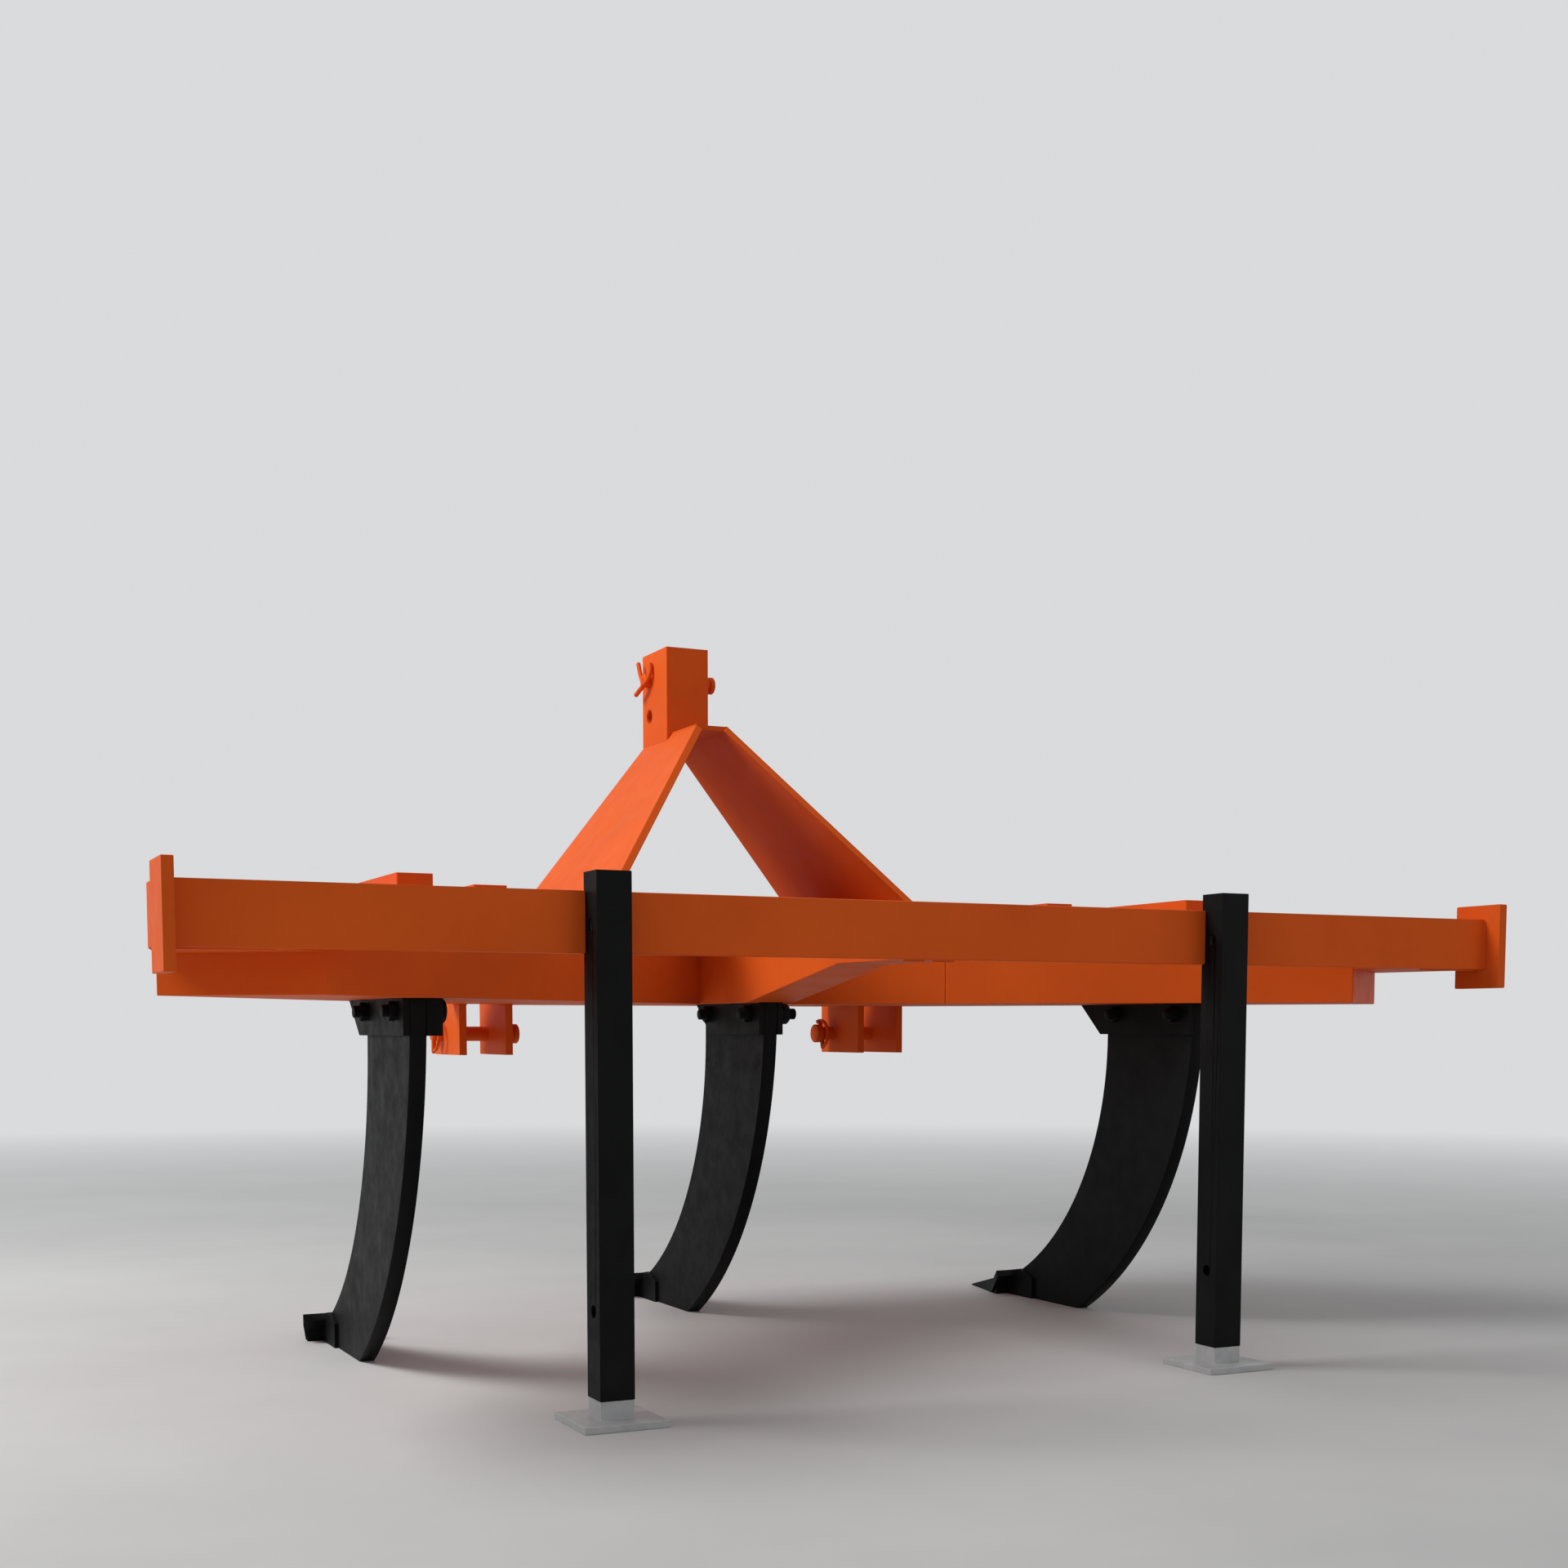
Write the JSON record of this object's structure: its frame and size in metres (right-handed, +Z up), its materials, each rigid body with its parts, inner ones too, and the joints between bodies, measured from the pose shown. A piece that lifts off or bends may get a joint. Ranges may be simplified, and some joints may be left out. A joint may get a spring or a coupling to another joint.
{
  "type": "mounted subsoiler",
  "caption": "V-shaped box frame on curved soil-loosening tines with forked points, a leaning-plate mast with top link bracket, lower link clevises and sliding parking stands.",
  "frame": {"origin": "middle of the footprint, on the ground that the points and the feet of the stands touch", "axes": "+Y the way the machine travels, towards the tractor; +X to the right; +Z up"},
  "size_m": [2.6, 1.6254, 1.482],
  "materials": {
    "orange_paint": "gloss",
    "black_paint": "satin",
    "zinc": "matt"
  },
  "bodies": {
    "frame": {"arm_left": "orange_paint", "arm_right": "orange_paint", "centre_beam": "orange_paint", "end_gusset_left": "orange_paint", "end_gusset_right": "orange_paint", "end_plate_left": "orange_paint", "end_plate_right": "orange_paint", "front_box": "orange_paint", "lower_cheek_left_inner": "orange_paint", "lower_cheek_left_outer": "orange_paint", "lower_cheek_right_inner": "orange_paint", "lower_cheek_right_outer": "orange_paint", "lower_pin_left": "orange_paint", "lower_pin_right": "orange_paint", "mast_cap": "orange_paint", "mast_leg_left": "orange_paint", "mast_leg_right": "orange_paint", "point_centre": "black_paint", "point_left": "black_paint", "point_right": "black_paint", "rear_bar": "orange_paint", "shank_centre": "black_paint", "shank_left": "black_paint", "shank_right": "black_paint", "spare_socket_left": "orange_paint", "spare_socket_right": "orange_paint", "stand_guide_left": "orange_paint", "stand_guide_right": "orange_paint", "tine_cheek_centre_left": "black_paint", "tine_cheek_centre_right": "black_paint", "tine_cheek_left_left": "black_paint", "tine_cheek_left_right": "black_paint", "tine_cheek_right_left": "black_paint", "tine_cheek_right_right": "black_paint", "tine_socket_centre": "orange_paint", "tine_socket_left": "orange_paint", "tine_socket_right": "orange_paint", "top_bracket": "orange_paint", "top_pin": "orange_paint"},
    "stand_left": {"stand_tube_left": "black_paint", "stand_foot_left": "zinc"},
    "stand_right": {"stand_tube_right": "black_paint", "stand_foot_right": "zinc"}
  },
  "joints": [
    {"name": "stand_left_slide", "type": "slide", "parent": "frame", "child": "stand_left", "axis": [0, 0, 1], "range_m": [0, 0.62]},
    {"name": "stand_right_slide", "type": "slide", "parent": "frame", "child": "stand_right", "axis": [0, 0, 1], "range_m": [0, 0.62]}
  ]
}
